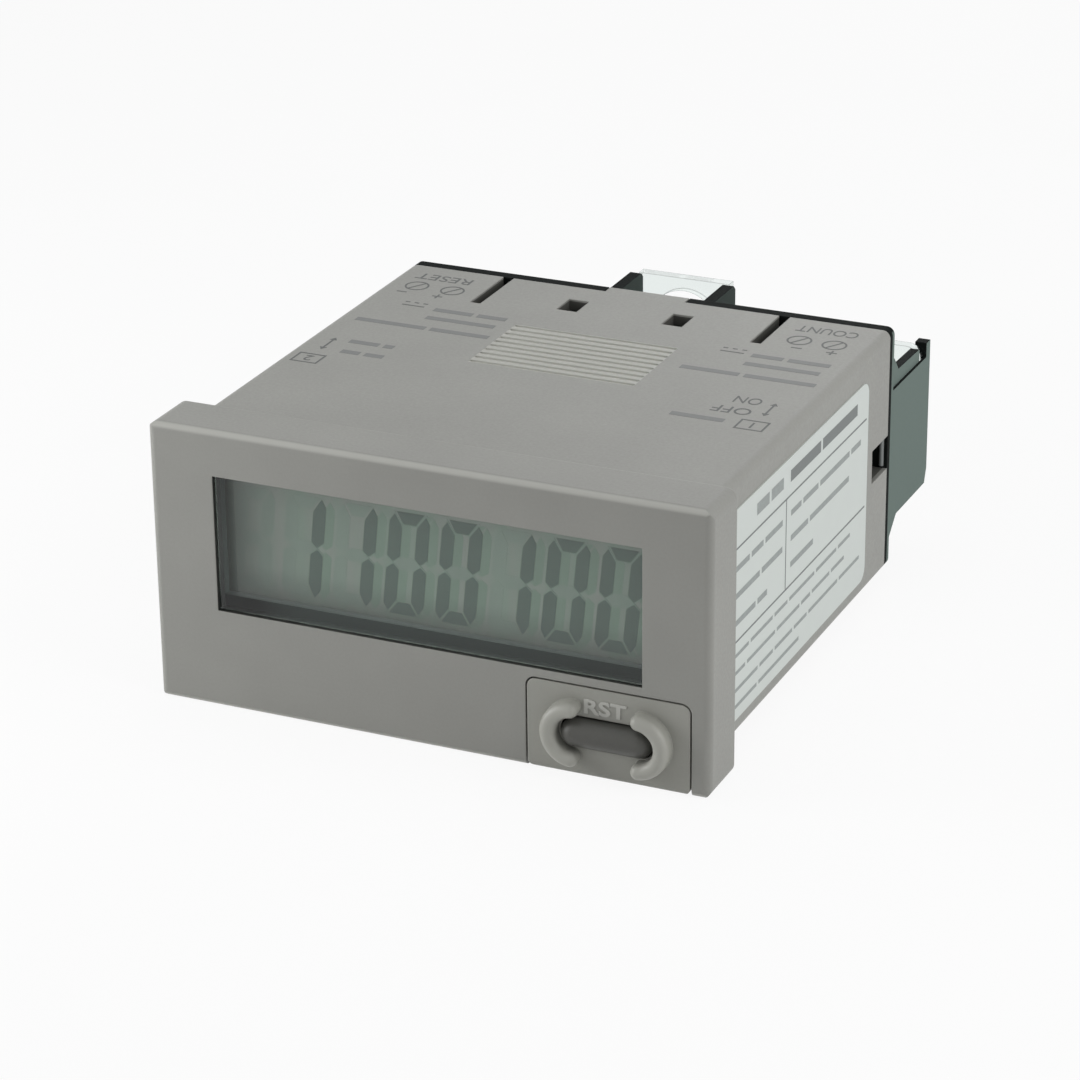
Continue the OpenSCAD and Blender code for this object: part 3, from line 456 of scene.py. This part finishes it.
def prism(bm, outline, low, high):
    """A closed plate of one outline between two heights above the face."""
    lower = [bm.verts.new((u, v, low)) for u, v in outline]
    upper = [bm.verts.new((u, v, high)) for u, v in outline]
    bm.faces.new(lower[::-1])
    bm.faces.new(upper)
    for i in range(len(outline)):
        bm.faces.new((lower[i - 1], lower[i], upper[i], upper[i - 1]))


def bar(bm, centre, width, height, low, high):
    u, v = centre
    half_w, half_h = width / 2, height / 2
    prism(bm, [(u - half_w, v - half_h), (u + half_w, v - half_h), (u + half_w, v + half_h),
               (u - half_w, v + half_h)], low, high)


def stroke(bm, start, end, width, low, high):
    """A straight line of one width."""
    along = Vector(end) - Vector(start)
    side = Vector((-along.y, along.x)).normalized() * width / 2
    corners = [Vector(start) - side, Vector(end) - side, Vector(end) + side, Vector(start) + side]
    prism(bm, [corner[:] for corner in corners], low, high)


def ring(bm, centre, radius, width, low, high):
    """A round line, drawn as one outline with a hairline cut."""
    steps, cut = 40, 0.002
    angles = [(2 * math.pi - cut) * i / steps for i in range(steps + 1)]
    points = []
    for r, order in ((radius + width / 2, angles), (radius - width / 2, angles[::-1])):
        points += [(centre[0] + r * math.cos(a), centre[1] + r * math.sin(a)) for a in order]
    prism(bm, points, low, high)


def word(bm, text, centre, width, height, low, high, weight=0.0):
    """A word in the built-in font, fitted to a width and a height. Weight thickens its strokes."""
    curve = bpy.data.curves.new("word", "FONT")
    curve.body = text
    curve.offset = weight
    curve.extrude = 0.5
    curve.resolution_u = 4
    holder = bpy.data.objects.new("word", curve)
    mesh = bpy.data.meshes.new_from_object(holder)
    corners = [vertex.co for vertex in mesh.vertices]
    lowest = Vector(min(corner[i] for corner in corners) for i in range(3))
    size = Vector(max(corner[i] for corner in corners) for i in range(3)) - lowest
    scale = Vector((width / size.x, height / size.y, (high - low) / size.z))
    start = Vector((centre[0] - width / 2, centre[1] - height / 2, low))
    mesh.transform(Matrix.Translation(start) @ Matrix.Diagonal(scale).to_4x4() @ Matrix.Translation(-lowest))
    bm.from_mesh(mesh)
    bpy.data.meshes.remove(mesh)
    bpy.data.objects.remove(holder)
    bpy.data.curves.remove(curve)


def piece(bm, name, place, material, body="counter"):
    """Turns the collected plates into one object that rides on a body."""
    weld = 0.0005
    bmesh.ops.remove_doubles(bm, verts=bm.verts, dist=weld)
    bmesh.ops.recalc_face_normals(bm, faces=bm.faces)
    bm.transform(place)
    mesh = bpy.data.meshes.new(name)
    bm.to_mesh(mesh)
    bm.free()
    made = bpy.data.objects.new(name, mesh)
    scene.collection.objects.link(made)
    mesh.materials.append(material)
    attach(made, body)


# Display

DIGIT_PITCH = 4.52
FIRST_DIGIT_X = -16.16
DIGIT_Z = 2.32
DIGIT_W = 3.5
DIGIT_H = 8.8
SEGMENT_W = 1.12
SEGMENT_GAP = 0.1
HAIRLINE_W = 0.1
HAIRLINE_RISE = 0.04
BAND_TONE = 0.95
SLANT = math.tan(math.radians(6))
SHADOW_SHIFT = (0.75, -0.1)
READING = " 1100100"
LIT = {" ": "", "0": "abcdef", "1": "bc"}
JOINT_SIDES = {" ": (), "0": (-1, 1), "1": (1,)}


def segment_outlines():
    """The seven segments of one digit round its centre: mitred plates that leave hairlines between them."""
    a, b, t, g = DIGIT_W / 2, DIGIT_H / 2, SEGMENT_W, SEGMENT_GAP
    tip = t * 0.42
    shoulder = t * 0.75
    upright = [(a, b - shoulder), (a - tip, b - g), (a - t, b - t - g), (a - t, shoulder / 2 + g),
               (a - t / 2, g), (a, shoulder / 2 + g)]
    level = [(tip + g - a, b), (a - tip - g, b), (a - t - g, b - t + g), (t + g - a, b - t + g)]
    middle = [(t / 2 + g - a, 0), (t + g - a, t / 2), (a - t - g, t / 2), (a - t / 2 - g, 0),
              (a - t - g, -t / 2), (t + g - a, -t / 2)]

    def flip(points, across, over):
        return [(across * u, over * v) for u, v in points]

    return {"a": level, "b": upright, "c": flip(upright, 1, -1), "d": flip(level, 1, -1),
            "e": flip(upright, -1, -1), "f": flip(upright, -1, 1), "g": middle}


def digit_segments(lit):
    """Outlines of all the segments that are lit, or all that are not, over the eight digits."""
    shapes = segment_outlines()
    for place, figure in enumerate(READING):
        for key, outline in shapes.items():
            if (key in LIT[figure]) == lit:
                yield [on_display(place, point) for point in outline]


def on_display(place, point):
    """A point of one digit, slanted and set in its place on the display."""
    u, v = point
    return (FIRST_DIGIT_X + place * DIGIT_PITCH + u + v * SLANT, DIGIT_Z + v)


def joint_lines():
    """Lines along the joints between the segments of the lit digits."""
    a, b, t = DIGIT_W / 2, DIGIT_H / 2, SEGMENT_W
    reach, inset = t * 0.45, t * 0.3
    knot = (a - t / 2, 0)
    crossing = [(knot, (u, v)) for u in (a, a - t) for v in (reach, -reach)]
    corners = [((a - inset, v), (a - t, v * (1 - t / b))) for v in (b, -b)]
    for place, figure in enumerate(READING):
        for side in JOINT_SIDES[figure]:
            for ends in crossing + (corners if figure == "0" else []):
                yield [on_display(place, (side * u, v)) for u, v in ends]


def build_display():
    """Layers of segments on the glass, each with its shift, rise, tone and depth of painted shade, and the
    hairlines.
    """
    lcd_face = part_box("lcd_panel")[0].y
    place = placed((0, lcd_face, 0), (1, 0, 0), (0, 0, 1))
    layers = (
        ("lcd_shadows", True, SHADOW_SHIFT, 0.01, colour(112, 127, 115), 0.4),
        ("lcd_idle_segments", False, (0, 0), 0.015, colour(121, 130, 122), 0.38),
        ("lcd_figures", True, (0, 0), 0.03, colour(69, 83, 76), 0.62),
    )
    for name, lit, shift, rise, tone, dim in layers:
        bm = bmesh.new()
        for outline in digit_segments(lit):
            prism(bm, [(u + shift[0], v + shift[1]) for u, v in outline], 0, rise)
        piece(bm, name, place, display_finish(name, tone, shade(tone, BAND_TONE), dim))
    bm = bmesh.new()
    for start, end in joint_lines():
        stroke(bm, start, end, HAIRLINE_W, 0, HAIRLINE_RISE)
    tone = colour(118, 131, 122)
    finish = display_finish("lcd_hairlines", tone, shade(tone, BAND_TONE))
    piece(bm, "lcd_hairlines", place, finish)


def build_pane_edges():
    """A dark film on the two upright edges of the window pane, which is painted shade."""
    pane_gap, film = 0.1, 0.02
    edge_x, edge_z = WINDOW_HALF_W - pane_gap, WINDOW_HALF_H - pane_gap
    edge_from, edge_to = -4.4, -3.45
    place = placed((0, 0, 0), (0, 1, 0), (0, 0, 1))
    bm = bmesh.new()
    for side in (-1, 1):
        bar(bm, ((edge_from + edge_to) / 2, WINDOW_Z), edge_to - edge_from, 2 * edge_z,
            side * edge_x - film, side * edge_x + film)
    # Painted shade: a dark film on the pane's upright edges
    piece(bm, "pane_edges", place, moulded("pane_edge_shade", colour(52, 54, 53), 0.5))


# Ridges in the side notches of the case

def build_notch_ridges():
    """A half-round upright ridge on each side of the terminal block's rim, where a notch shows it. The ridge
    is a real shape; its pale grey is a painted highlight.
    """
    ridge_x, ridge_r, ridge_half_h, rim_face = 21.88, 0.21, 1.3, 39.4
    seat, steps = 0.05, 10
    turns = [math.pi * (1 + i / steps) for i in range(steps + 1)]
    place = placed((0, 0, 0), (1, 0, 0), (0, 1, 0))
    bm = bmesh.new()
    for side in (-1, 1):
        x = side * ridge_x
        outline = [(x + ridge_r * math.cos(turn), rim_face + ridge_r * math.sin(turn)) for turn in turns]
        outline += [(x + ridge_r, rim_face + seat), (x - ridge_r, rim_face + seat)]
        prism(bm, outline, -ridge_half_h, ridge_half_h)
    # Painted highlight: the ridge gets a pale grey on the black rim
    ridge_highlight_grey = moulded("ridge_highlight_grey", colour(136, 140, 139), 0.5, edge=0.04)
    piece(bm, "notch_ridges", place, ridge_highlight_grey)


# Reset mark on the key plate

def build_key_mark():
    mark_centre, mark_w, mark_h, mark_rise, mark_weight = (15.3, -5.83), 3.55, 1.25, 0.1, 0.026
    plate_face = -5
    place = placed((0, plate_face * MM, 0), (1, 0, 0), (0, 0, 1))
    bm = bmesh.new()
    word(bm, "RST", mark_centre, mark_w, mark_h, -mark_rise, mark_rise, mark_weight)
    piece(bm, "reset_mark", place, moulded("mark_grey", colour(183, 183, 177), 0.45, edge=0.04))


# Marks printed on the top of the case, which read from the rear

INK_RISE = 0.012
LINE_W = 0.17
# Each word, the place of its middle, its width and its height
TOP_WORDS = (
    ("RESET", -17.95, 36.9, 5.2, 1.35),
    ("COUNT", 17.6, 37.2, 5.4, 1.35),
    ("ON", 17.2, 19.8, 2.3, 1.4),
    ("OFF", 16.7, 17.4, 3.3, 1.4),
)
# The place across of each terminal's sign and of its polarity, and whether that is plus
TOP_TERMINALS = (
    (-19.4, -20.0, False),
    (-16.0, -16.6, True),
    (16.1, 16.5, False),
    (19.2, 19.6, True),
)
# Where each row of bars starts and ends across, its place along, and the shares of its bars
TOP_LINES = (
    (-15.4, -8.6, 29.5, (3, 4)),
    (-15.2, -8.8, 27.5, (6,)),
    (-20.6, -8.2, 25.0, (5, 6)),
    (13.7, 20.6, 29.6, (4, 3)),
    (13.8, 20.4, 27.6, (6,)),
    (9.2, 21.0, 25.0, (6, 5)),
    (-18.6, -14.5, 19.8, (1, 3)),
    (-18.2, -14.3, 17.4, (2, 2)),
    (12.4, 17.0, 15.0, (5,)),
)


def from_rear(x, y):
    """A place on the top, in the reading direction of the print."""
    return (-x, -y)


def terminal_sign(bm, x, y):
    """Ring with a slot, for a terminal screw."""
    sign_r, slot_u, slot_v = 1.0, 0.48, 0.8
    u, v = from_rear(x, y)
    ring(bm, (u, v), sign_r, LINE_W, 0, INK_RISE)
    stroke(bm, (u - slot_u, v - slot_v), (u + slot_u, v + slot_v), LINE_W, 0, INK_RISE)


def polarity(bm, x, y, plus):
    """A plus or a minus sign."""
    reach = 0.95
    u, v = from_rear(x, y)
    bar(bm, (u, v), reach, LINE_W, 0, INK_RISE)
    if plus:
        for side in (-1, 1):
            bar(bm, (u, v + side * (reach + LINE_W) / 4), LINE_W, (reach - LINE_W) / 2, 0, INK_RISE)


def direct_current(bm, x, y):
    """A full line over a broken one."""
    length, drop, dashes = 2.1, 0.75, 3
    u, v = from_rear(x, y)
    bar(bm, (u, v), length, LINE_W, 0, INK_RISE)
    dash = length / (2 * dashes - 1)
    for i in range(dashes):
        bar(bm, (u + (i - (dashes - 1) / 2) * 2 * dash, v - drop), dash, LINE_W, 0, INK_RISE)


def switch_arrow(bm, x, y):
    """Line with a head at each end, beside the two positions of a slider."""
    reach, head, head_half_w = 1.45, 0.55, 0.33
    u, v = from_rear(x, y)
    bar(bm, (u, v), LINE_W, 2 * (reach - head), 0, INK_RISE)
    for way in (-1, 1):
        base = v + way * (reach - head)
        prism(bm, [(u - head_half_w, base), (u + head_half_w, base), (u, v + way * reach)], 0, INK_RISE)


def boxed_number(bm, text, x, y):
    """A figure in a box. The one is a plain bar."""
    box_w, box_h, figure_w, figure_h = 2.3, 1.9, 0.75, 1.15
    u, v = from_rear(x, y)
    for side in (-1, 1):
        bar(bm, (u, v + side * box_h / 2), box_w + LINE_W, LINE_W, 0, INK_RISE)
        bar(bm, (u + side * box_w / 2, v), LINE_W, box_h - LINE_W, 0, INK_RISE)
    if text == "1":
        bar(bm, (u, v), LINE_W, figure_h, 0, INK_RISE)
    else:
        word(bm, text, (u, v), figure_w, figure_h, 0, INK_RISE)


def text_bars(bm, start, end, v, height, words, high):
    """A row of plain bars with gaps between them."""
    gap = 0.45
    share = (end - start - gap * (len(words) - 1)) / sum(words)
    u = start
    for length in words:
        bar(bm, (u + length * share / 2, v), length * share, height, 0, high)
        u += length * share + gap


def build_top_marks(place):
    """Words and signs for the terminals and the mode switch."""
    screw_row, polarity_row, current_row, arrow_row, number_row = 34.4, 32.6, 29.7, 18.6, 14.9
    current_places, arrow_places = (-17.5, 11.9), (19.5, -20.0)
    number_places = (("1", 19.4), ("2", -20.0))
    bm = bmesh.new()
    for text, x, y, width, height in TOP_WORDS:
        word(bm, text, from_rear(x, y), width, height, 0, INK_RISE)
    for screw_x, polarity_x, plus in TOP_TERMINALS:
        terminal_sign(bm, screw_x, screw_row)
        polarity(bm, polarity_x, polarity_row, plus)
    for x in current_places:
        direct_current(bm, x, current_row)
    for x in arrow_places:
        switch_arrow(bm, x, arrow_row)
    for text, x in number_places:
        boxed_number(bm, text, x, number_row)
    piece(bm, "top_marks", place, ink("ink_grey", colour(82, 85, 84)))


def build_top_lines(place):
    """Rows of plain bars."""
    bar_h = 0.75
    bm = bmesh.new()
    for x0, x1, y, words in TOP_LINES:
        text_bars(bm, -x1, -x0, -y, bar_h, words, INK_RISE)
    piece(bm, "top_print_lines", place, ink("ink_pale", colour(114, 116, 115)))


def build_top_print():
    top_z = 10.95
    place = placed((0, 0, top_z * MM), (-1, 0, 0), (0, -1, 0))
    build_top_marks(place)
    build_top_lines(place)


# Rules and plain bars printed on the side label

# The height of each row of bars, where it ends, and the shares of its bars
RIGHT_LINES = ((3.6, 32.2, (2, 3, 6, 2)), (1.4, 29.4, (3, 7)), (-0.9, 21.0, (4,)))
LEFT_LINES = ((3.5, 13.9, (3, 2, 3)), (1.2, 13.9, (4, 3)), (-1.1, 10.6, (5, 2)))
LOWER_LINES = (
    (-3.9, 30.0, (4, 5, 3, 6, 5, 3)),
    (-5.4, 28.6, (3, 6, 5, 2, 4, 3)),
    (-6.9, 32.4, (6, 3, 4, 3, 7, 5)),
    (-8.3, 18.0, (5, 8)),
)


def build_label_print():
    rise, rule_w = 0.01, 0.16
    front_margin, rear_margin, indent, column_indent = 0.3, 0.5, 0.4, 1.1
    upper_rule, lower_rule, column = 5.2, -2.7, 14.7
    dark_heading, pale_heading = (15.6, 31.2), (8.2, 14.0)
    heading_v, heading_h, text_h, small_h = 6.85, 1.0, 0.5, 0.32
    label_low, label_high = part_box("side_label")
    start, end = label_low.y / MM + front_margin, label_high.y / MM - rear_margin
    place = placed((label_high.x, 0, 0), (0, 1, 0), (0, 0, 1))
    rules = bmesh.new()
    for v in (upper_rule, lower_rule):
        bar(rules, ((start + end) / 2, v), end - start, rule_w, 0, rise)
    bar(rules, (column, (upper_rule + lower_rule) / 2), rule_w, upper_rule - lower_rule - rule_w, 0, rise)
    text_bars(rules, *dark_heading, heading_v, heading_h, (5, 6), rise)
    piece(rules, "label_rules", place, ink("label_ink", colour(112, 117, 116)))

    lines = bmesh.new()
    text_bars(lines, *pale_heading, heading_v, heading_h, (1, 1), rise)
    blocks = (
        (RIGHT_LINES, column + column_indent, text_h),
        (LEFT_LINES, start + indent, text_h),
        (LOWER_LINES, start + indent, small_h),
    )
    for block, begin, height in blocks:
        for v, stop, words in block:
            text_bars(lines, begin, stop, v, height, words, rise)
    piece(lines, "label_lines", place, ink("label_ink_pale", colour(148, 154, 152)))


build_display()
build_pane_edges()
build_notch_ridges()
build_key_mark()
build_top_print()
build_label_print()


# Floor, light and camera

def background_rays(tree):
    """1 for rays that see the background: camera, glossy and transmission rays."""
    path = node(tree, "ShaderNodeLightPath")
    seen = path.outputs["Is Camera Ray"]
    for name in ("Is Glossy Ray", "Is Transmission Ray"):
        joined = node(tree, "ShaderNodeMath", {"operation": "MAXIMUM"})
        tree.links.new(seen, joined.inputs[0])
        tree.links.new(path.outputs[name], joined.inputs[1])
        seen = joined.outputs["Value"]
    return seen


def build_floor():
    half, floor_z = 3000, -12
    glow, matte, grain_size = 0.9, 0.9, 40
    bm = bmesh.new()
    bmesh.ops.create_grid(bm, x_segments=1, y_segments=1, size=half * MM)
    mesh = bpy.data.meshes.new("floor")
    bm.to_mesh(mesh)
    bm.free()
    floor = bpy.data.objects.new("floor", mesh)
    floor.location.z = floor_z * MM
    scene.collection.objects.link(floor)
    material, tree, shader = material_tree("floor_white")
    grain = noise(tree, grain_size)
    tone = blend(tree, spread(tree, grain, 0, 1), colour(240, 240, 240), colour(246, 246, 246))
    tree.links.new(tone, shader.inputs["Base Color"])
    shader.inputs["Roughness"].default_value = matte
    shader.inputs["Specular IOR Level"].default_value = 0
    white = node(tree, "ShaderNodeEmission", Strength=1.0).outputs["Emission"]
    share = spread(tree, background_rays(tree), 0, glow, 0, 1)
    mixed = node(tree, "ShaderNodeMixShader", Fac=share)
    tree.links.new(shader.outputs["BSDF"], mixed.inputs[1])
    tree.links.new(white, mixed.inputs[2])
    tree.links.new(mixed.outputs["Shader"], tree.nodes["Material Output"].inputs["Surface"])
    mesh.materials.append(material)


def build_world():
    ambient = 0.3
    world = bpy.data.worlds.new("studio")
    scene.world = world
    world.use_nodes = True
    tree = world.node_tree
    soft = tree.nodes["Background"]
    soft.inputs["Color"].default_value = (1, 1, 1, 1)
    soft.inputs["Strength"].default_value = ambient
    white = node(tree, "ShaderNodeBackground", Color=(1, 1, 1, 1), Strength=1.0).outputs["Background"]
    mixed = node(tree, "ShaderNodeMixShader", Fac=background_rays(tree))
    tree.links.new(soft.outputs["Background"], mixed.inputs[1])
    tree.links.new(white, mixed.inputs[2])
    tree.links.new(mixed.outputs["Shader"], tree.nodes["World Output"].inputs["Surface"])


def softbox(name, direction, distance, size, watts, tint=(1, 1, 1)):
    """A square area light that faces the middle of the part."""
    middle = (cad_low + cad_high) / 2
    lamp = bpy.data.lights.new(name, "AREA")
    lamp.size = size * MM
    lamp.energy = watts
    lamp.color = tint
    holder = bpy.data.objects.new(name, lamp)
    away = Vector(direction).normalized()
    holder.location = middle + away * distance * MM
    holder.rotation_mode = "QUATERNION"
    holder.rotation_quaternion = away.to_track_quat("Z", "Y")
    scene.collection.objects.link(holder)


def build_camera():
    place = (119.1, -246.1, 121.8)
    azimuth, elevation, roll = (math.radians(angle) for angle in (24.36, 23.37, -0.61))
    lens, sensor = 126.6, 36
    data = bpy.data.cameras.new("camera")
    data.sensor_width = sensor
    data.lens = lens
    data.clip_start = 1 * MM
    camera = bpy.data.objects.new("camera", data)
    back = Vector((math.sin(azimuth) * math.cos(elevation), -math.cos(azimuth) * math.cos(elevation),
                   math.sin(elevation)))
    camera.location = Vector(place) * MM
    camera.rotation_mode = "QUATERNION"
    camera.rotation_quaternion = (-back).to_track_quat("-Z", "Y") @ Quaternion((0, 0, 1), roll)
    scene.collection.objects.link(camera)
    scene.camera = camera


build_floor()
build_world()
softbox("right_softbox", (0.85, -0.08, 0.5), distance=400, size=300, watts=0.75)
softbox("top_softbox", (-0.1, 0.15, 1), distance=450, size=350, watts=0.39, tint=(0.95, 0.98, 1))
softbox("front_softbox", (-0.85, -0.47, 0.2), distance=160, size=90, watts=0.13)
softbox("rear_softbox", (-0.15, 1, 0.12), distance=420, size=180, watts=0.22)
build_camera()
scene.view_settings.view_transform = "Standard"
